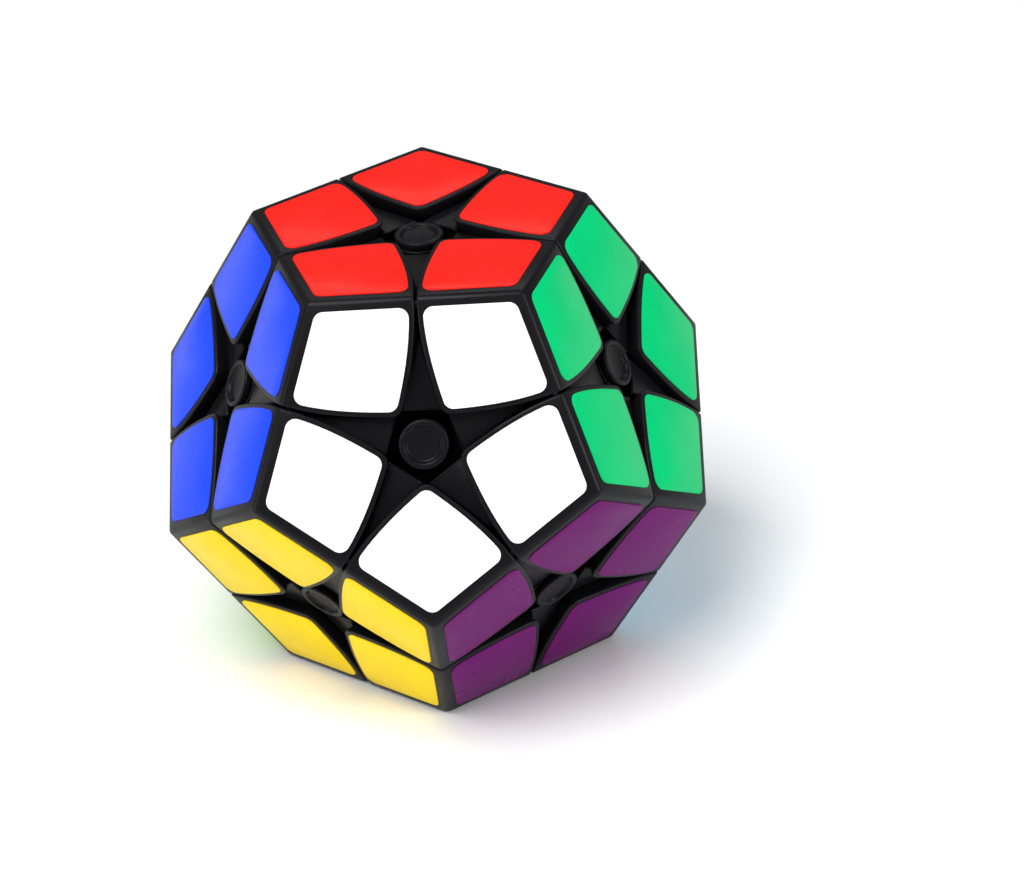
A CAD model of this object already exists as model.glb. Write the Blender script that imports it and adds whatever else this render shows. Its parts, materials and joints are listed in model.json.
import json
import math
from collections import namedtuple
from functools import lru_cache

import bmesh
import bpy
from mathutils import Matrix, Vector


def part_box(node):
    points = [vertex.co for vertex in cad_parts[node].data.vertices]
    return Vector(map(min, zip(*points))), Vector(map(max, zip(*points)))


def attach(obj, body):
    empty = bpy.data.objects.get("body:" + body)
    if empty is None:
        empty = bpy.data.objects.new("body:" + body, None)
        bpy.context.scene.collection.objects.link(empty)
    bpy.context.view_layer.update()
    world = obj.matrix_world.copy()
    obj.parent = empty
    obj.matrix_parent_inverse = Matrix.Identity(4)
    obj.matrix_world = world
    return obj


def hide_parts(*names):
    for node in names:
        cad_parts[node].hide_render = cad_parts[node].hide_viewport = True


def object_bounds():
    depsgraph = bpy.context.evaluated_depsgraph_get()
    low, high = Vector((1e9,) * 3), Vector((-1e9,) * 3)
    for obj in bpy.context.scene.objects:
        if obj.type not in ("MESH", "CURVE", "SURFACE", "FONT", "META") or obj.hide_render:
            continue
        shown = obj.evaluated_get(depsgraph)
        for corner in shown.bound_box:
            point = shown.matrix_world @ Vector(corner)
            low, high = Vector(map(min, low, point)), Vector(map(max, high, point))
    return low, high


# The looks of a dodecahedral twisting puzzle. Lengths are metres and angles are radians. The
# CAD model is the fixed frame, and each kind of piece is built once in a frame of its own and
# then turned into every place that it has in the puzzle.

MM = 0.001
HALF_FIFTH = math.radians(36)

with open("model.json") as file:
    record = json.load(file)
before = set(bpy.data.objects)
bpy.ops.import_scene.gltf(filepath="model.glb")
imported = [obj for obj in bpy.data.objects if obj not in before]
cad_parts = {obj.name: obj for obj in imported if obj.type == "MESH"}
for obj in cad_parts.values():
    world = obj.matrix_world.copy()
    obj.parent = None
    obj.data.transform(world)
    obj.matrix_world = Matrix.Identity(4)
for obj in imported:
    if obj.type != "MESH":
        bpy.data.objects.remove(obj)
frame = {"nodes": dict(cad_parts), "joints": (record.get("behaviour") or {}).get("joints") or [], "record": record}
cad_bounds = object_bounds()
NODES = frame["nodes"]

# ---------------------------------------------------------------- sizes

# From the frame.
INRADIUS = cad_bounds[1].z
EDGE_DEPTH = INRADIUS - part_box("edge_white_red")[1].z
CAP_TOP = -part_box("centre_orange")[0].z
SEAT_BOTTOM = -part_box("centre_orange")[1].z
SHANK_BOTTOM = -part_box("screw_orange")[1].z
HEAD_TOP = -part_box("screw_orange")[0].z
HEAD_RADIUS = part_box("screw_orange")[1].x
SPRING_BOTTOM = -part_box("spring_orange")[1].z
SPRING_TOP = -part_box("spring_orange")[0].z

# Turning layers, as the CAD model has them: the layer about a face's axis is round, so a corner
# piece is what three layers share, an edge piece what two share, and a centre what only one has.
HALF_GAP = 0.2 * MM
BOSS_RADIUS = 3.4 * MM
BOSS_CLEARANCE = 0.2 * MM
STAR_TIP = (BOSS_RADIUS + BOSS_CLEARANCE) / math.cos(HALF_FIFTH)
SIDE_BOW = 0.3 * MM
CORE_INRADIUS = 10 * MM
FOOT_HEIGHT = 9 * MM
NECK_HEIGHT = 3 * MM
COLLAR_HEIGHT = 3 * MM
FOOT_RADIUS = CORE_INRADIUS + FOOT_HEIGHT
NECK_RADIUS = FOOT_RADIUS + NECK_HEIGHT
COLLAR_RADIUS = NECK_RADIUS + COLLAR_HEIGHT
FLOOR_HEIGHT = CORE_INRADIUS + HALF_GAP
FOOT_ANGLE = math.radians(51)
NECK_ANGLE = math.radians(46)

# Stickers.
VINYL_THICKNESS = 0.15 * MM
VINYL_EDGE_ROUND = 0.05 * MM
VINYL_EDGE_STEP = 0.3 * VINYL_EDGE_ROUND
STICKER_EDGE_MARGIN = 1.42 * MM
STICKER_SIDE_MARGIN = 0.78 * MM
STICKER_CORNER_RADIUS = 1.4 * MM
STICKER_SINK = 0.02 * MM
STICKER_ARC_STEP = math.radians(10)
STICKER_SHARP_ANGLE = math.radians(50)

# Rounding of the moulded pieces.
CREST_ROUND = 0.62 * MM
RIM_ROUND = 0.36 * MM
TIP_ROUND = 1.5 * MM
WEDGE_ROUND = 0.45 * MM
BEVEL_SEGMENTS = 3
SHARP_ANGLE = math.radians(35)

# How finely a moulded piece is drawn: columns across a wall, steps round a ridge, and rings
# down the curved part of its sides.
WALL_COLUMNS = 18
RIDGE_STEPS = 6
SIDE_STEPS = 6

# Centres and what they hold.
RING_WIDTH = 0.8 * MM
RING_HEIGHT = 0.5 * MM
RING_SLOPE = 0.25 * MM
DISH_DEPTH = 0.1 * MM
CAP_THICKNESS = 1.6 * MM
FLANGE_THICKNESS = 1.1 * MM
CAP_ROUND = 0.35 * MM
CENTRE_ROUND = 0.3 * MM
PART_LINE = 0.08 * MM
BORE_RADIUS = HEAD_RADIUS + 0.35 * MM
SEAT_THICKNESS = 1.4 * MM
SHANK_RADIUS = 0.9 * MM
SHANK_HOLE_RADIUS = 1.2 * MM
HEAD_THICKNESS = 1.5 * MM
HEAD_CROWN = 0.5 * MM
HEAD_FLAT_SHARE = 0.6
HEAD_ROUND = 0.25 * MM
RECESS_SIZE = (2.2 * MM, 0.55 * MM, 1.6 * MM)
THREAD_PITCH = 0.6 * MM
THREAD_DEPTH = 0.18 * MM
WIRE_RADIUS = 0.2 * MM
SPRING_TURNS = 4
SPRING_STEPS = 26
WIRE_SIDES = 8
END_CLOSING = 0.55
LATHE_STEPS = 48
SMALL_LATHE_STEPS = 24

# The core, whose posts are tapped for the screws and sunk a little way into its block.
POST_RADIUS = 1.95 * MM
POST_FLARE = 0.1 * MM
POST_HEIGHT = 15 * MM
POST_ROUND = 0.2 * MM
POST_SINK = 0.2 * MM
POST_ROOT = 0.4 * MM
TAP_CLEARANCE = 0.05 * MM
TAP_DEPTH = 0.3 * MM
CORE_CHAMFER = 0.5 * MM
FLAT_ANGLE = 0.02

# ---------------------------------------------------------------- the dodecahedron

RING_ELEVATION = math.atan(1 / 2)
NEIGHBOUR_ANGLE = math.pi / 2 - RING_ELEVATION
HALF_NEIGHBOUR = NEIGHBOUR_ANGLE / 2
VERTEX_ANGLE = math.atan(math.tan(HALF_NEIGHBOUR) / math.cos(HALF_FIFTH))
FIFTH_TURN = 2 * math.pi / 5
UP = Vector((0, 0, 1))
SOLVE_STEPS = 38
SECANT_STEPS = 6

# How near two lengths or places have to be to count as one.
SAME_LENGTH = 1e-9
SAME_PLACE = 1e-7
SAME_CORE_VERTEX = 1e-6
SAME_COSINE = 1e-6


def polar(angle, azimuth):
    """The direction at an angle from +Z, and an azimuth round it."""
    level = math.sin(angle)
    return Vector((level * math.cos(azimuth), level * math.sin(azimuth), math.cos(angle)))


def ring_axis(index, upper):
    """A face axis of the upper or lower ring, from white or purple anticlockwise."""
    azimuth = -math.pi / 2 + (index if upper else index + 0.5) * FIFTH_TURN
    return polar(NEIGHBOUR_ANGLE if upper else math.pi - NEIGHBOUR_ANGLE, azimuth)


FACES = {"red": UP, "orange": -UP}
for number, face in enumerate(("white", "green", "cream", "pink", "blue")):
    FACES[face] = ring_axis(number, upper=True)
for number, face in enumerate(("purple", "skyblue", "grey", "lime", "yellow")):
    FACES[face] = ring_axis(number, upper=False)


def are_neighbours(axis, other):
    return abs(axis.dot(other) - math.cos(NEIGHBOUR_ANGLE)) < SAME_COSINE


def turned_frame(up, towards):
    """A rotation that takes +Z to up, and +X to the side of up that is nearest to towards."""
    across = (towards - up * towards.dot(up)).normalized()
    return Matrix((across, up.cross(across), up)).transposed().to_4x4()


def solve(rising, low, high):
    """Where a rising function of one number is zero."""
    for _ in range(SOLVE_STEPS):
        middle = (low + high) / 2
        if rising(middle) < 0:
            low = middle
        else:
            high = middle
    return (low + high) / 2


# ---------------------------------------------------------------- turning layers


def on_neighbour(distance):
    """(radius, height) about a layer's axis of a point on a neighbouring face, a distance from
    that face's middle towards a vertex of the layer's own face."""
    spot = UP * INRADIUS + polar(math.pi / 2, HALF_FIFTH) * distance
    height = spot.dot(polar(NEIGHBOUR_ANGLE, 0))
    return Vector((math.sqrt(spot.length_squared - height**2), height))


EDGE_MIDDLE = Vector((INRADIUS, INRADIUS * math.tan(HALF_NEIGHBOUR)))
TIP = on_neighbour(STAR_TIP)
SIDE = EDGE_MIDDLE - TIP
BOW_CENTRE = (TIP + EDGE_MIDDLE) / 2
BOW_OUT = Vector((SIDE.y, -SIDE.x)).normalized()


def bowed_side(share):
    """A point on the outer side of a layer: 0 at a corner piece's tip, 1 at an edge's middle."""
    along = TIP + SIDE * share
    return along + BOW_OUT * (4 * SIDE_BOW * share * (1 - share))


@lru_cache(maxsize=None)
def outer_angle(radius):
    """The half angle of a layer's bowed outer side at a radius, by a few secant steps."""
    low, high = 0.0, 1.0
    low_miss = bowed_side(low).length - radius
    for _ in range(SECANT_STEPS):
        high_miss = bowed_side(high).length - radius
        if abs(high_miss) < SAME_LENGTH or high_miss == low_miss:
            break
        step = high_miss * (high - low) / (high_miss - low_miss)
        low, low_miss, high = high, high_miss, high - step
    spot = bowed_side(high)
    return math.atan2(spot.x, spot.y)


def blend(start, end, share):
    return start + (end - start) * share


def layer_angle(radius, inset):
    """A layer's half angle where it crosses a sphere, moved into the layer by inset."""
    if radius >= COLLAR_RADIUS:
        angle = outer_angle(radius)
    elif radius >= NECK_RADIUS:
        share = (radius - NECK_RADIUS) / (COLLAR_RADIUS - NECK_RADIUS)
        angle = blend(NECK_ANGLE, outer_angle(COLLAR_RADIUS), share)
    elif radius >= FOOT_RADIUS:
        share = (radius - FOOT_RADIUS) / (NECK_RADIUS - FOOT_RADIUS)
        angle = blend(FOOT_ANGLE, NECK_ANGLE, share)
    else:
        angle = FOOT_ANGLE
    return angle - inset / radius


# ---------------------------------------------------------------- keyed pieces

# A wall is part of a layer's side. inset is above zero on a wall that has its layer inside it,
# and frame turns +Z to the layer's axis and +X to the side nearest to the piece.
Wall = namedtuple("Wall", "axis inset frame")

# A piece is cut out by its walls, anticlockwise as seen from outside, and by its outer faces.
# Its ridges, where walls meet, are rounded off from a distance of ridge_round on either side.
Cell = namedtuple("Cell", "walls tops top_distance apex ridge_round")


def floor_axes(cell):
    """The axes of the core's faces that a piece's floor follows."""
    return [wall.axis for wall in cell.walls if wall.inset > 0]


def wall_of(axis, inset):
    return Wall(axis, inset, turned_frame(axis, UP).to_3x3())


def wall_point(wall, azimuth, radius):
    """A point on a wall. Azimuth is about the wall's axis, from the side nearest to +Z."""
    return wall.frame @ (polar(layer_angle(radius, wall.inset), azimuth) * radius)


def azimuth_on(wall, point):
    local = wall.frame.transposed() @ point
    return math.atan2(local.y, local.x)


def ridge_point(wall, other, radius):
    """Where two walls meet on a sphere, on the side nearest to +Z."""
    reach = radius * math.cos(layer_angle(radius, wall.inset))
    other_reach = radius * math.cos(layer_angle(radius, other.inset))
    dot = wall.axis.dot(other.axis)
    cross = wall.axis.cross(other.axis)
    flat = wall.axis * (reach - other_reach * dot) + other.axis * (other_reach - reach * dot)
    flat = flat / (1 - dot**2)
    rise = math.sqrt(radius**2 - flat.length_squared) / cross.length
    return max(flat + cross * rise, flat - cross * rise, key=lambda point: point.z)


def round_off(start, ridge, end, share):
    """A direction part of the way along a curve that rounds off a ridge."""
    point = start.lerp(ridge, share).lerp(ridge.lerp(end, share), share)
    return point.normalized()


def trimmed_span(wall, start, end, trim, radius):
    """A wall's azimuths between its ridges' rounding, on a sphere."""
    turn = trim / (radius * math.sin(layer_angle(radius, wall.inset)))
    turn = math.copysign(turn, end - start)
    return start + turn, end - turn


def cell_point(cell, index, step, radius):
    """A point of a piece's outline on a sphere. Each wall has its span of columns, then the
    steps round the ridge that follows it."""
    wall = cell.walls[index]
    after = cell.walls[(index + 1) % len(cell.walls)]
    before = cell.walls[index - 1]
    ridge = ridge_point(wall, after, radius)
    first = azimuth_on(wall, ridge_point(before, wall, radius))
    start, end = trimmed_span(wall, first, azimuth_on(wall, ridge), cell.ridge_round, radius)
    if step <= WALL_COLUMNS:
        return wall_point(wall, blend(start, end, step / WALL_COLUMNS), radius)
    third = cell.walls[(index + 2) % len(cell.walls)]
    last = azimuth_on(after, ridge_point(after, third, radius))
    following, _ = trimmed_span(
        after, azimuth_on(after, ridge), last, cell.ridge_round, radius)
    share = (step - WALL_COLUMNS) / RIDGE_STEPS
    curve = (wall_point(wall, end, radius), ridge, wall_point(after, following, radius))
    return round_off(*curve, share) * radius


def ring_round(cell, radius_at):
    """One ring of points round a piece. radius_at gives the radius for a place that moves with
    it, so that a ring can follow a sphere, the outer faces or the floor."""
    points = []
    for index in range(len(cell.walls)):
        for step in range(WALL_COLUMNS + RIDGE_STEPS):

            def place(radius, index=index, step=step):
                return cell_point(cell, index, step, radius)

            points.append(place(radius_at(place)))
    return points


def reach_of_tops(cell):
    """Gives the radius at which a place reaches a piece's outer faces."""
    def to_tops(place):
        def above(radius):
            return max(place(radius).dot(axis) for axis in cell.tops) - cell.top_distance

        return solve(above, COLLAR_RADIUS, 2 * INRADIUS)

    return to_tops


def cell_rings(cell):
    """The rings of a piece from its rim down to its floor."""
    to_tops = reach_of_tops(cell)

    def part_way(share):
        return lambda place: blend(COLLAR_RADIUS, to_tops(place), share)

    def to_floor(place):
        def above(radius):
            return min(place(radius).dot(axis) for axis in floor_axes(cell)) - FLOOR_HEIGHT

        return solve(above, CORE_INRADIUS / 2, FOOT_RADIUS)

    shares = [step / SIDE_STEPS for step in reversed(range(SIDE_STEPS))]
    radii = [to_tops] + [part_way(share) for share in shares]
    radii += [lambda place, radius=radius: radius for radius in (NECK_RADIUS, FOOT_RADIUS)]
    radii.append(to_floor)
    return [ring_round(cell, radius_at) for radius_at in radii]


def run_on_plane(points, axis, distance):
    """The run of a ring's points that lies on a plane, in order."""
    flat = [abs(point.dot(axis) - distance) < SAME_PLACE for point in points]
    start = next(i for i in range(len(points)) if flat[i] and not flat[i - 1])
    run = []
    while flat[(start + len(run)) % len(points)] and len(run) < len(points):
        run.append((start + len(run)) % len(points))
    return run


def keyed_mesh(name, cell):
    """The moulded piece that fills a cell, with rounded crests and rims."""
    rings = cell_rings(cell)
    mesh = bmesh.new()
    rows = [[mesh.verts.new(point) for point in ring] for ring in rings]
    count = len(rows[0])
    for upper, lower in zip(rows, rows[1:]):
        for i in range(count):
            j = (i + 1) % count
            mesh.faces.new((upper[i], lower[i], lower[j], upper[j]))
    apex = [mesh.verts.new(UP * cell.apex)] if cell.apex else []
    for axis in cell.tops:
        run = run_on_plane(rings[0], axis, cell.top_distance)
        mesh.faces.new([rows[0][i] for i in run] + apex)
    close_floor(mesh, cell, rings[-1], rows[-1])
    weight_edges(mesh, rows, apex)
    bmesh.ops.recalc_face_normals(mesh, faces=mesh.faces)
    return finished_mesh(name, mesh)


def close_floor(mesh, cell, points, row):
    """Closes a piece at the bottom, with one flat face over each face of the core."""
    tip = []
    if cell.apex:
        tip = [mesh.verts.new(UP * (FLOOR_HEIGHT / floor_axes(cell)[0].z))]
    for axis in floor_axes(cell):
        run = run_on_plane(points, axis, FLOOR_HEIGHT)
        mesh.faces.new([row[i] for i in run] + tip)


def weight_edges(mesh, rows, apex):
    """Marks how far each edge of a piece is rounded, as a share of the crest's rounding."""
    layer = mesh.edges.layers.float.new("bevel_weight_edge")
    rim = set(rows[0])
    count = len(rows[0])
    for edge in mesh.edges:
        ends = set(edge.verts)
        if ends <= rim or ends & set(apex):
            edge[layer] = 1.0
    for i in range(count):
        along_rim = mesh.edges.get((rows[0][i], rows[0][(i + 1) % count]))
        along_rim[layer] = RIM_ROUND / CREST_ROUND


def finished_mesh(name, mesh):
    """Rounds the marked edges, and shades the result smooth up to its sharp edges."""
    data = bpy.data.meshes.new(name + "_base")
    mesh.to_mesh(data)
    mesh.free()
    piece = bpy.data.objects.new(name + "_base", data)
    bpy.context.scene.collection.objects.link(piece)
    bevel = piece.modifiers.new("round", "BEVEL")
    bevel.limit_method = "WEIGHT"
    bevel.width = CREST_ROUND
    bevel.segments = BEVEL_SEGMENTS
    bevel.use_clamp_overlap = False
    result = bpy.data.meshes.new_from_object(
        piece.evaluated_get(bpy.context.evaluated_depsgraph_get()))
    result.name = name
    bpy.data.objects.remove(piece)
    bpy.data.meshes.remove(data)
    shade(result)
    return result


def shade(mesh, angle=SHARP_ANGLE):
    mesh.shade_smooth()
    mesh.set_sharp_from_angle(angle=angle)


CORNER_AXES = [polar(VERTEX_ANGLE, third * 2 * math.pi / 3) for third in range(3)]
PLASTIC_INRADIUS = INRADIUS - VINYL_THICKNESS


def corner_cell():
    """A corner piece, with its vertex over +Z and its first face towards +X. Each wall is the
    side of the layer of the face across from it."""
    walls = [wall_of(CORNER_AXES[index], HALF_GAP) for index in (2, 0, 1)]
    apex = PLASTIC_INRADIUS / CORNER_AXES[0].z
    return Cell(walls, CORNER_AXES, PLASTIC_INRADIUS, apex, TIP_ROUND)


def edge_cell():
    """An edge piece, with the dodecahedron's edge over +Z and along Y."""
    near, far = polar(HALF_NEIGHBOUR, 0), polar(HALF_NEIGHBOUR, math.pi)
    beside = [polar(math.pi / 2 - HALF_NEIGHBOUR, side * math.pi / 2) for side in (1, -1)]
    walls = [
        wall_of(far, HALF_GAP), wall_of(beside[0], -HALF_GAP),
        wall_of(near, HALF_GAP), wall_of(beside[1], -HALF_GAP)]
    return Cell(walls, [near, far], INRADIUS - EDGE_DEPTH, None, WEDGE_ROUND)


# ---------------------------------------------------------------- stickers


def clip(polygon, normal, distance):
    """The part of a convex polygon that lies within a distance along a normal."""
    kept = []
    for index, point in enumerate(polygon):
        before = polygon[index - 1]
        inside = point.dot(normal) <= distance
        if inside != (before.dot(normal) <= distance):
            share = (distance - before.dot(normal)) / (point - before).dot(normal)
            kept.append(before.lerp(point, share))
        if inside:
            kept.append(point)
    return kept


def grown(polygon, radius, step=STICKER_ARC_STEP):
    """A convex polygon pushed out by a radius, with round corners."""
    outline = []
    for index, point in enumerate(polygon):
        incoming = point - polygon[index - 1]
        outgoing = polygon[(index + 1) % len(polygon)] - point
        start = math.atan2(incoming.y, incoming.x) - math.pi / 2
        turn = incoming.angle_signed(outgoing, 0) * -1
        steps = max(1, math.ceil(abs(turn) / step))
        for number in range(steps + 1):
            angle = start + turn * number / steps
            outline.append(point + radius * Vector((math.cos(angle), math.sin(angle))))
    return outline


def sticker_core():
    """The kite of a corner piece's first face, drawn in by its margins and its corners' radius,
    in that face's plane. Its sides follow the piece's own outline."""
    cell = corner_cell()
    rim = ring_round(cell, reach_of_tops(cell))
    run = run_on_plane(rim, CORNER_AXES[0], PLASTIC_INRADIUS)
    to_plane = turned_frame(CORNER_AXES[0], UP).to_3x3().transposed()
    flat = [(to_plane @ point).xy for point in [rim[i] for i in run] + [UP * cell.apex]]
    polygon = [Vector((x, y)) * INRADIUS for x, y in ((-2, -2), (2, -2), (2, 2), (-2, 2))]
    for index, point in enumerate(flat):
        following = flat[(index + 1) % len(flat)]
        along = (following - point).normalized()
        normal = Vector((along.y, -along.x))
        beside_apex = flat[-1] in (point, following)
        margin = STICKER_EDGE_MARGIN if beside_apex else STICKER_SIDE_MARGIN
        distance = point.dot(normal) - margin - STICKER_CORNER_RADIUS
        polygon = clip(polygon, normal, distance)
    return polygon


def sticker_mesh():
    """A thin vinyl kite with a soft cut edge, on a corner piece's first face."""
    core = sticker_core()
    full = grown(core, STICKER_CORNER_RADIUS)
    drawn_in = grown(core, STICKER_CORNER_RADIUS - VINYL_EDGE_ROUND)
    part_in = grown(core, STICKER_CORNER_RADIUS - VINYL_EDGE_STEP)
    levels = [
        (full, PLASTIC_INRADIUS - STICKER_SINK),
        (full, INRADIUS - VINYL_EDGE_ROUND),
        (part_in, INRADIUS - VINYL_EDGE_STEP),
        (drawn_in, INRADIUS)]
    place = turned_frame(CORNER_AXES[0], UP).to_3x3()
    mesh = bmesh.new()
    rows = []
    for outline, height in levels:
        rows.append([
            mesh.verts.new(place @ Vector((point.x, point.y, height))) for point in outline])
    count = len(full)
    for lower, upper in zip(rows, rows[1:]):
        for i in range(count):
            j = (i + 1) % count
            mesh.faces.new((lower[i], lower[j], upper[j], upper[i]))
    mesh.faces.new(rows[-1])
    mesh.faces.new(list(reversed(rows[0])))
    bmesh.ops.remove_doubles(mesh, verts=mesh.verts, dist=SAME_PLACE)
    bmesh.ops.recalc_face_normals(mesh, faces=mesh.faces)
    data = bpy.data.meshes.new("kite")
    mesh.to_mesh(data)
    mesh.free()
    shade(data, STICKER_SHARP_ANGLE)
    return data


# ---------------------------------------------------------------- turned pieces


def rounded(outline, radius, steps=4):
    """An open outline of [radius, height] pairs with its inner corners rounded."""
    points = [Vector(outline[0])]
    for before, corner, after in zip(outline, outline[1:], outline[2:]):
        before, corner, after = Vector(before), Vector(corner), Vector(after)
        back, forth = before - corner, after - corner
        trim = min(radius, back.length * 0.45, forth.length * 0.45)
        start, end = corner + back.normalized() * trim, corner + forth.normalized() * trim
        for number in range(steps + 1):
            share = number / steps
            points.append(start.lerp(corner, share).lerp(corner.lerp(end, share), share))
    points.append(Vector(outline[-1]))
    return points


def lathe(mesh, outline, steps=LATHE_STEPS):
    """Adds a solid of revolution about +Z to a mesh. The outline starts and ends on the axis."""
    rows = []
    for radius, height in outline:
        if radius < SAME_PLACE:
            rows.append([mesh.verts.new((0, 0, height))])
        else:
            rows.append([
                mesh.verts.new((
                    radius * math.cos(2 * math.pi * i / steps),
                    radius * math.sin(2 * math.pi * i / steps), height))
                for i in range(steps)])
    for lower, upper in zip(rows, rows[1:]):
        for i in range(steps):
            j = (i + 1) % steps
            corners = [lower[i % len(lower)], lower[j % len(lower)],
                       upper[j % len(upper)], upper[i % len(upper)]]
            unique = list(dict.fromkeys(corners))
            if len(unique) > 2:
                mesh.faces.new(unique)


def turned_mesh(name, outline, steps=LATHE_STEPS):
    mesh = bmesh.new()
    lathe(mesh, outline, steps)
    bmesh.ops.recalc_face_normals(mesh, faces=mesh.faces)
    data = bpy.data.meshes.new(name)
    mesh.to_mesh(data)
    mesh.free()
    shade(data)
    return data


def beside_layer(angle, radius):
    """(radius, height) on a centre's side, clear of a neighbouring layer of that half angle."""
    own = NEIGHBOUR_ANGLE - angle - HALF_GAP / radius
    return radius * math.sin(own), radius * math.cos(own)


CAP_FLOOR = CAP_TOP - RING_HEIGHT
CAP_UNDERSIDE = CAP_FLOOR - CAP_THICKNESS
CAP_FLANGE = CAP_TOP - FLANGE_THICKNESS
SEAT_TOP = SEAT_BOTTOM + SEAT_THICKNESS


def centre_mesh():
    """A centre: the seat for its spring, a stalk, the collar and a boss with an open bore."""
    stalk_top = beside_layer(FOOT_ANGLE, FOOT_RADIUS)
    stalk_foot = (stalk_top[0] * SEAT_BOTTOM / stalk_top[1], SEAT_BOTTOM)
    shoulder = beside_layer(outer_angle(COLLAR_RADIUS), COLLAR_RADIUS)
    rim = CAP_FLANGE - PART_LINE
    outline = [
        (SHANK_HOLE_RADIUS, SEAT_BOTTOM), stalk_foot, stalk_top,
        beside_layer(NECK_ANGLE, NECK_RADIUS), shoulder,
        (BOSS_RADIUS, shoulder[1]), (BOSS_RADIUS, rim), (BORE_RADIUS, rim),
        (BORE_RADIUS, SEAT_TOP), (SHANK_HOLE_RADIUS, SEAT_TOP)]
    half_section = rounded(outline, CENTRE_ROUND)
    return turned_mesh("centre", half_section + [half_section[0]])


def cap_mesh():
    """A snap-in cap: a plug under a flange with a raised, rounded ring and a shallow dish."""
    ring_inner = BOSS_RADIUS - RING_WIDTH
    outline = [
        (0, CAP_UNDERSIDE), (BORE_RADIUS - PART_LINE, CAP_UNDERSIDE),
        (BORE_RADIUS - PART_LINE, CAP_FLANGE), (BOSS_RADIUS, CAP_FLANGE),
        (BOSS_RADIUS, CAP_TOP), (ring_inner, CAP_TOP),
        (ring_inner - RING_SLOPE, CAP_FLOOR), (0, CAP_FLOOR - DISH_DEPTH)]
    return turned_mesh("cap", rounded(outline, CAP_ROUND, steps=5))


def screw_mesh():
    """A pan-head screw with a threaded shank and a cross recess."""
    head_bottom = HEAD_TOP - HEAD_THICKNESS
    outline = [(0, SHANK_BOTTOM), (SHANK_RADIUS - THREAD_DEPTH, SHANK_BOTTOM)]
    height = SHANK_BOTTOM
    while height + THREAD_PITCH < POST_HEIGHT:
        outline.append((SHANK_RADIUS, height + THREAD_PITCH / 2))
        outline.append((SHANK_RADIUS - THREAD_DEPTH, height + THREAD_PITCH))
        height += THREAD_PITCH
    outline += [(SHANK_RADIUS, POST_HEIGHT), (SHANK_RADIUS, head_bottom)]
    head = [
        (SHANK_RADIUS, head_bottom), (HEAD_RADIUS, head_bottom),
        (HEAD_RADIUS, HEAD_TOP - HEAD_CROWN), (HEAD_RADIUS * HEAD_FLAT_SHARE, HEAD_TOP),
        (0, HEAD_TOP)]
    outline += rounded(head, HEAD_ROUND)[1:]
    return cut_by_cross(turned_mesh("screw_blank", outline, SMALL_LATHE_STEPS))


def cut_by_cross(data):
    """Cuts a cross recess into a screw's head."""
    blank = bpy.data.objects.new("screw_blank", data)
    cutter_mesh = bmesh.new()
    for turn in (0, math.pi / 2):
        arm = bmesh.ops.create_cube(cutter_mesh, size=1)["verts"]
        size = Matrix.Diagonal((*RECESS_SIZE, 1))
        place = Matrix.Translation((0, 0, HEAD_TOP)) @ Matrix.Rotation(turn, 4, "Z") @ size
        bmesh.ops.transform(cutter_mesh, matrix=place, verts=arm)
    cutter_data = bpy.data.meshes.new("cross")
    cutter_mesh.to_mesh(cutter_data)
    cutter_mesh.free()
    cutter = bpy.data.objects.new("cross", cutter_data)
    for piece in (blank, cutter):
        bpy.context.scene.collection.objects.link(piece)
    cut = blank.modifiers.new("recess", "BOOLEAN")
    cut.operation = "DIFFERENCE"
    cut.use_self = True
    cut.object = cutter
    result = bpy.data.meshes.new_from_object(
        blank.evaluated_get(bpy.context.evaluated_depsgraph_get()))
    for piece in (blank, cutter):
        bpy.data.objects.remove(piece)
    result.name = "screw"
    shade(result)
    return result


def spring_mesh():
    """A coil spring whose end turns close up against its neighbours."""
    coil_radius = (BORE_RADIUS + SHANK_RADIUS) / 2
    low, high = SPRING_BOTTOM + WIRE_RADIUS, SPRING_TOP - WIRE_RADIUS
    count = SPRING_STEPS * SPRING_TURNS
    mesh = bmesh.new()
    rows = []
    for number in range(count + 1):
        share = number / count
        turn = 2 * math.pi * SPRING_TURNS * share
        eased = share - math.sin(2 * math.pi * share) / (2 * math.pi) * END_CLOSING
        outwards = Vector((math.cos(turn), math.sin(turn), 0))
        middle = outwards * coil_radius + UP * blend(low, high, eased)
        row = []
        for side in range(WIRE_SIDES):
            angle = 2 * math.pi * side / WIRE_SIDES
            offset = outwards * math.cos(angle) + UP * math.sin(angle)
            row.append(mesh.verts.new(middle + offset * WIRE_RADIUS))
        rows.append(row)
    for lower, upper in zip(rows, rows[1:]):
        for i in range(WIRE_SIDES):
            j = (i + 1) % WIRE_SIDES
            mesh.faces.new((lower[i], lower[j], upper[j], upper[i]))
    mesh.faces.new(rows[0])
    mesh.faces.new(rows[-1])
    bmesh.ops.recalc_face_normals(mesh, faces=mesh.faces)
    data = bpy.data.meshes.new("spring")
    mesh.to_mesh(data)
    mesh.free()
    shade(data)
    return data


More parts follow.
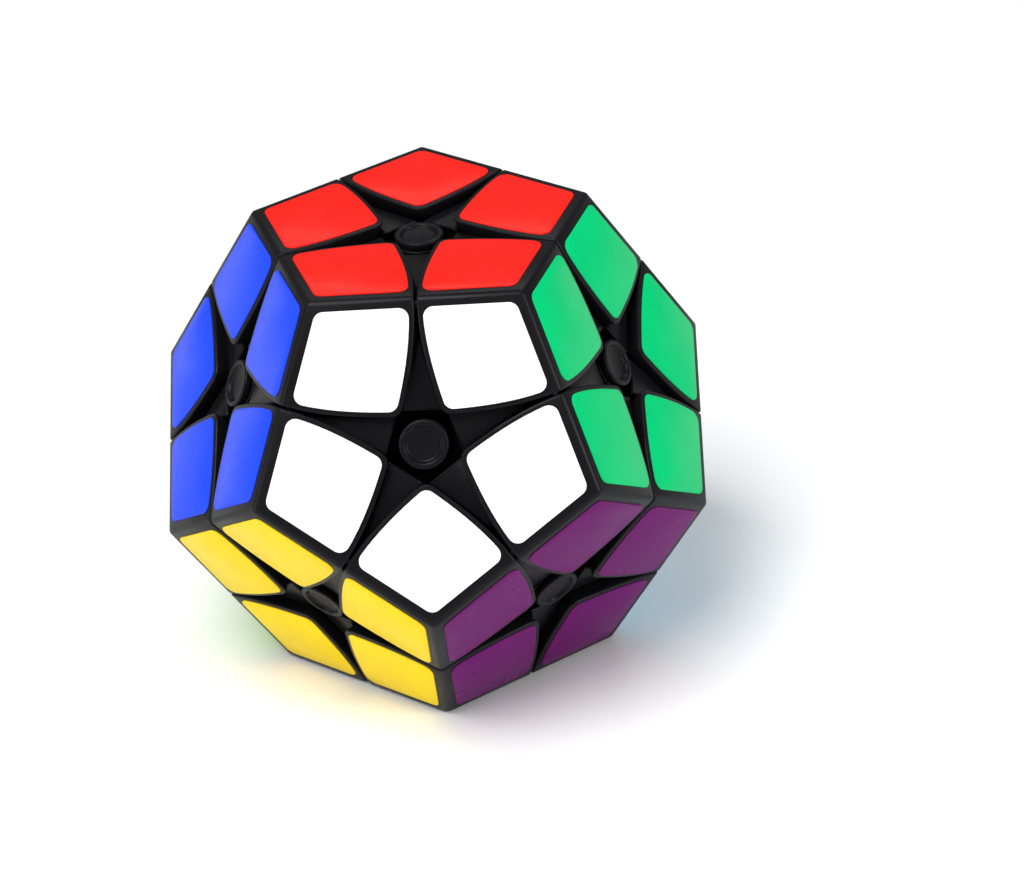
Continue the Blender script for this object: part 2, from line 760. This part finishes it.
def core_mesh():
    """The core: a chamfered dodecahedral block with a tapped post under every face.

    Known fault: the slice mesh.verts[start:] is meant to hold a post's own vertices. For the
    first post it doesn't, because new vertices fill places that the chamfer left free. Fifteen
    faces of the hidden block are stretched by it, and they cross the red face's screw."""
    mesh = bmesh.new()
    inradius = CORE_INRADIUS - HALF_GAP
    axes = list(FACES.values())
    for axis in axes:
        around = [other for other in axes if are_neighbours(axis, other)]
        for side in around:
            following = next(
                other for other in around
                if are_neighbours(side, other) and side.cross(other).dot(axis) > 0)
            total = axis + side + following
            mesh.verts.new(total * (inradius / total.dot(axis)))
    bmesh.ops.remove_doubles(mesh, verts=mesh.verts, dist=SAME_CORE_VERTEX)
    bmesh.ops.convex_hull(mesh, input=mesh.verts)
    bmesh.ops.dissolve_limit(mesh, angle_limit=FLAT_ANGLE, verts=mesh.verts, edges=mesh.edges)
    bmesh.ops.bevel(
        mesh, geom=mesh.edges, offset=CORE_CHAMFER, segments=2, profile=0.5, affect="EDGES")
    hole = SHANK_RADIUS + TAP_CLEARANCE
    hole_floor = SHANK_BOTTOM - TAP_DEPTH
    post = rounded([
        (hole, hole_floor), (hole, POST_HEIGHT), (POST_RADIUS, POST_HEIGHT),
        (POST_RADIUS + POST_FLARE, inradius - POST_SINK), (0, inradius - POST_ROOT)], POST_ROUND)
    for axis in axes:
        side = next(other for other in axes if are_neighbours(axis, other))
        start = len(mesh.verts)
        lathe(mesh, [Vector((0, hole_floor))] + post, SMALL_LATHE_STEPS)
        mesh.verts.ensure_lookup_table()
        bmesh.ops.transform(mesh, matrix=turned_frame(axis, side), verts=mesh.verts[start:])
    bmesh.ops.recalc_face_normals(mesh, faces=mesh.faces)
    data = bpy.data.meshes.new("core")
    mesh.to_mesh(data)
    mesh.free()
    shade(data)
    return data


# ---------------------------------------------------------------- materials


class Shader:
    """A Principled material under construction, with short ways to add nodes."""

    def __init__(self, name, colour, roughness, metallic=0.0):
        self.material = bpy.data.materials.new(name)
        self.material.use_nodes = True
        self.tree = self.material.node_tree
        self.surface = self.tree.nodes["Principled BSDF"]
        self.surface.inputs["Base Color"].default_value = (*colour, 1)
        self.surface.inputs["Roughness"].default_value = roughness
        self.surface.inputs["Metallic"].default_value = metallic
        coordinates = self.add("ShaderNodeTexCoord")
        self.place = coordinates.outputs["Object"]

    def add(self, kind, **settings):
        node = self.tree.nodes.new(kind)
        for name, value in settings.items():
            setattr(node, name, value)
        return node

    def link(self, output, socket):
        self.tree.links.new(output, socket)

    def noise(self, size, detail=2.0, stretch=None):
        """Noise whose features are about the given size, in metres."""
        node = self.add("ShaderNodeTexNoise")
        node.inputs["Scale"].default_value = 1 / size
        node.inputs["Detail"].default_value = detail
        place = self.place
        if stretch:
            mapping = self.add("ShaderNodeMapping")
            mapping.inputs["Scale"].default_value = stretch
            self.link(place, mapping.inputs["Vector"])
            place = mapping.outputs["Vector"]
        self.link(place, node.inputs["Vector"])
        return node.outputs["Fac"]

    def ranged(self, value, low, high, start=0.3, end=0.7):
        """A value that goes from low to high as another goes from start to end."""
        node = self.add("ShaderNodeMapRange")
        node.inputs["From Min"].default_value = start
        node.inputs["From Max"].default_value = end
        node.inputs["To Min"].default_value = low
        node.inputs["To Max"].default_value = high
        self.link(value, node.inputs["Value"])
        return node.outputs["Result"]

    def mixed(self, share, first, second):
        node = self.add("ShaderNodeMix", data_type="RGBA")
        node.inputs["A"].default_value = (*first, 1)
        node.inputs["B"].default_value = (*second, 1)
        self.link(share, node.inputs["Factor"])
        return node.outputs["Result"]

    def product(self, value, other):
        node = self.add("ShaderNodeMath", operation="MULTIPLY")
        self.link(value, node.inputs[0])
        self.link(other, node.inputs[1])
        return node.outputs["Value"]

    def bumps(self, *layers):
        """Stacks bump maps, as (height, depth in metres) pairs, onto the surface's normal."""
        normal = None
        for height, depth in layers:
            node = self.add("ShaderNodeBump")
            node.inputs["Strength"].default_value = 1.0
            node.inputs["Distance"].default_value = depth
            self.link(height, node.inputs["Height"])
            if normal:
                self.link(normal, node.inputs["Normal"])
            normal = node.outputs["Normal"]
        self.link(normal, self.surface.inputs["Normal"])


def scaled(colour, share):
    return tuple(min(1.0, channel * share) for channel in colour)


def moulded_plastic(name, colour, roughness, specular):
    """Moulded plastic: a fine matt grain, patches of polish from handling, faint scuffs, and
    edges that have worn a little lighter."""
    shader = Shader(name, colour, roughness)
    patches = shader.noise(9 * MM, detail=3)
    grain = shader.noise(0.16 * MM, detail=2)
    scuffs = shader.noise(1.1 * MM, detail=4, stretch=(1, 6, 1))
    geometry = shader.add("ShaderNodeNewGeometry")
    worn = shader.ranged(geometry.outputs["Pointiness"], 0, 1, start=0.52, end=0.6)
    worn = shader.product(worn, shader.ranged(patches, 0.25, 1.0))
    base = shader.mixed(worn, colour, scaled(colour, 2.6))
    shader.link(base, shader.surface.inputs["Base Color"])
    shine = shader.ranged(patches, roughness - 0.06, roughness + 0.08)
    shader.link(shine, shader.surface.inputs["Roughness"])
    shader.surface.inputs["Specular IOR Level"].default_value = specular
    shader.bumps((grain, 0.006 * MM), (scuffs, 0.004 * MM))
    return shader.material


# Sticker vinyl. The specular level is a tenth of the shader's usual 0.5, because the colours
# then came nearer to the photograph's. It isn't a measured value.
VINYL_BASE_ROUGHNESS = 0.32
VINYL_ROUGHNESS = (0.27, 0.36)
VINYL_SPECULAR = 0.05
VINYL_COAT = 0.05
VINYL_COAT_ROUGHNESS = 0.15
VINYL_PEEL_DEPTH = 0.0015 * MM


def vinyl(name, colour):
    """Sticker vinyl: even colour with the slightest mottle, on a smooth film with a faint orange
    peel, rubbed a little duller in streaks."""
    shader = Shader(name, colour, VINYL_BASE_ROUGHNESS)
    mottle = shader.noise(6 * MM, detail=4)
    peel = shader.noise(0.9 * MM, detail=0)
    rubbing = shader.noise(3 * MM, detail=3, stretch=(1, 5, 1))
    base = shader.mixed(
        shader.ranged(mottle, 0, 1), scaled(colour, 0.94), scaled(colour, 1.03))
    shader.link(base, shader.surface.inputs["Base Color"])
    shine = shader.ranged(rubbing, *VINYL_ROUGHNESS)
    shader.link(shine, shader.surface.inputs["Roughness"])
    shader.surface.inputs["Specular IOR Level"].default_value = VINYL_SPECULAR
    shader.surface.inputs["Coat Weight"].default_value = VINYL_COAT
    shader.surface.inputs["Coat Roughness"].default_value = VINYL_COAT_ROUGHNESS
    shader.bumps((peel, VINYL_PEEL_DEPTH))
    return shader.material


def steel(name, colour, roughness):
    """Plated steel with fine drawing marks."""
    shader = Shader(name, colour, roughness, metallic=1.0)
    marks = shader.noise(0.25 * MM, detail=3, stretch=(1, 1, 8))
    tone = shader.noise(1.5 * MM, detail=2)
    base = shader.mixed(shader.ranged(tone, 0, 1), scaled(colour, 0.85), scaled(colour, 1.1))
    shader.link(base, shader.surface.inputs["Base Color"])
    shine = shader.ranged(marks, roughness - 0.08, roughness + 0.12)
    shader.link(shine, shader.surface.inputs["Roughness"])
    shader.bumps((marks, 0.004 * MM))
    return shader.material


SLOTS = {entry["slot"]: tuple(entry["base_color"][:3]) for entry in frame["record"]["materials"]}
BLACK = moulded_plastic(
    "black_plastic", SLOTS["black_plastic"], roughness=0.32, specular=0.1)
CORE_BLACK = moulded_plastic(
    "core_plastic", SLOTS["core_plastic"], roughness=0.48, specular=0.4)
SCREW_STEEL = steel("screw_steel", SLOTS["screw_steel"], roughness=0.28)
SPRING_STEEL = steel("spring_steel", SLOTS["spring_steel"], roughness=0.32)

# ---------------------------------------------------------------- placing the pieces

BODY_OF = {
    node: body
    for body, nodes in frame["record"]["behaviour"]["bodies"].items() for node in nodes}
LAYER_NAMES = {
    joint["child"].removesuffix("_layer"): joint["child"] for joint in frame["joints"]}


def add_piece(name, shape, material, place, body):
    """Puts a copy of a shape into the scene with its material, riding on a CAD body."""
    mesh = shape.copy()
    mesh.name = name
    mesh.transform(place)
    mesh.materials.append(material)
    piece = bpy.data.objects.new(name, mesh)
    bpy.context.scene.collection.objects.link(piece)
    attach(piece, body)
    return piece


def node_faces(prefix):
    """The names of the CAD nodes of one kind, with the faces that each touches."""
    return [(node, node.split("_")[1:]) for node in NODES if node.startswith(prefix + "_")]


def anticlockwise(names):
    """Three faces in anticlockwise order as seen from outside."""
    first, second, third = (FACES[name] for name in names)
    if first.dot(second.cross(third)) > 0:
        return list(names)
    return [names[0], names[2], names[1]]


def add_corners():
    corner = keyed_mesh("corner_shape", corner_cell())
    kite = sticker_mesh()
    films = {face: vinyl("sticker_" + face, SLOTS["sticker_" + face]) for face in FACES}
    for node, touching in node_faces("corner"):
        order = anticlockwise(touching)
        vertex = sum((FACES[name] for name in order), Vector()).normalized()
        place = turned_frame(vertex, FACES[order[0]])
        body = BODY_OF[node]
        piece = add_piece(
            "plastic_" + node, corner, BLACK, place, body)
        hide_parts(node)
        for turn in range(3):
            colour, left, right = order[turn:] + order[:turn]
            slot = "sticker_" + colour
            spin = Matrix.Rotation(turn * 2 * math.pi / 3, 4, "Z")
            add_piece(
                f"{slot}_{left}_{right}", kite, films[colour], place @ spin, body)


def add_edges():
    edge = keyed_mesh("edge_shape", edge_cell())
    for node, (first, second) in node_faces("edge"):
        ridge = (FACES[first] + FACES[second]).normalized()
        place = turned_frame(ridge, FACES[first])
        piece = add_piece(
            "plastic_" + node, edge, BLACK, place, BODY_OF[node])
        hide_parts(node)


def add_centres():
    shapes = {
        "centre": (centre_mesh(), BLACK, "black_plastic"),
        "cap": (cap_mesh(), BLACK, "black_plastic"),
        "screw": (screw_mesh(), SCREW_STEEL, "screw_steel"),
        "spring": (spring_mesh(), SPRING_STEEL, "spring_steel")}
    for colour, axis in FACES.items():
        side = next(other for other in FACES.values() if are_neighbours(axis, other))
        place = turned_frame(axis, side)
        layer = LAYER_NAMES.get(colour, "root")
        for kind, (mesh, material, slot) in shapes.items():
            body = "root" if kind == "screw" else layer
            piece = add_piece(f"{kind}_of_{colour}", mesh, material, place, body)
            if f"{kind}_{colour}" in NODES:
                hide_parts(f"{kind}_{colour}")


def add_core():
    piece = add_piece("core_block", core_mesh(), CORE_BLACK, Matrix(), "root")
    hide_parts("core")


# ---------------------------------------------------------------- stage, light and camera

# The photograph's camera, as its place, aim and lens were fitted to the puzzle's corners.
VIEW_AZIMUTH = math.radians(3.5)
VIEW_ELEVATION = math.radians(30.7)
VIEW_DISTANCE = 580 * MM
VIEW_ROLL = math.radians(-4.2)
AIM_RIGHT = 10.8 * MM
AIM_UP = -2.2 * MM
LENS = 143.4
SENSOR_WIDTH = 36

WORLD_STRENGTH = 0.18
FLOOR_HALF_WIDTH = 6
FLOOR_DROP = 0.02 * MM
FLOOR_ROUGHNESS = 0.7
FLOOR_TONES = ((0.92, 0.92, 0.92), (0.94, 0.94, 0.94))


def look_from(position, target, roll=0.0):
    """Places a camera or a light to look at a target, upright and then rolled by an angle."""
    back = (position - target).normalized()
    right = UP.cross(back).normalized()
    turn = Matrix((right, back.cross(right), back)).transposed().to_4x4()
    return Matrix.Translation(position) @ turn @ Matrix.Rotation(roll, 4, "Z")


def add_camera():
    back = Vector((
        math.cos(VIEW_ELEVATION) * math.sin(VIEW_AZIMUTH),
        -math.cos(VIEW_ELEVATION) * math.cos(VIEW_AZIMUTH),
        math.sin(VIEW_ELEVATION)))
    right = UP.cross(back).normalized()
    target = right * AIM_RIGHT + back.cross(right) * AIM_UP
    data = bpy.data.cameras.new("camera")
    data.lens = LENS
    data.sensor_width = SENSOR_WIDTH
    camera = bpy.data.objects.new("camera", data)
    camera.matrix_world = look_from(back * VIEW_DISTANCE, target, VIEW_ROLL)
    bpy.context.scene.collection.objects.link(camera)
    bpy.context.scene.camera = camera


def add_light(name, position, size, power):
    """A white area light of a (width, height), in metres, that points at the puzzle."""
    data = bpy.data.lights.new(name, "AREA")
    data.shape = "RECTANGLE"
    data.size, data.size_y = size
    data.energy = power
    light = bpy.data.objects.new(name, data)
    light.matrix_world = look_from(Vector(position), Vector())
    bpy.context.scene.collection.objects.link(light)


def add_lights():
    """Soft studio light: a large key above, weaker lights beside and behind, and a dim world."""
    add_light("key", (-0.25, -0.35, 0.85), size=(0.6, 0.5), power=9.5)
    add_light("left", (-0.85, -0.4, 0.1), size=(0.4, 0.5), power=3.2)
    add_light("right", (0.85, -0.45, 0.4), size=(0.4, 0.4), power=5)
    add_light("back", (0.1, 0.8, 0.9), size=(0.9, 0.2), power=2.5)
    world = bpy.data.worlds.new("studio")
    world.use_nodes = True
    background = world.node_tree.nodes["Background"]
    background.inputs["Color"].default_value = (1, 1, 1, 1)
    background.inputs["Strength"].default_value = WORLD_STRENGTH
    bpy.context.scene.world = world


def add_floor():
    """A pale floor that the puzzle stands on, large enough to fill every view."""
    shader = Shader("floor", FLOOR_TONES[0], FLOOR_ROUGHNESS)
    tone = shader.noise(60 * MM, detail=2)
    base = shader.mixed(shader.ranged(tone, 0, 1), *FLOOR_TONES)
    shader.link(base, shader.surface.inputs["Base Color"])
    mesh = bmesh.new()
    bmesh.ops.create_grid(mesh, x_segments=4, y_segments=4, size=FLOOR_HALF_WIDTH)
    bmesh.ops.translate(mesh, verts=mesh.verts, vec=(0, 0, cad_bounds[0].z - FLOOR_DROP))
    data = bpy.data.meshes.new("floor")
    mesh.to_mesh(data)
    mesh.free()
    data.materials.append(shader.material)
    floor = bpy.data.objects.new("floor", data)
    bpy.context.scene.collection.objects.link(floor)


add_camera()
add_core()
add_centres()
add_edges()
add_corners()
add_floor()
add_lights()
bpy.context.scene.view_settings.view_transform = "Standard"
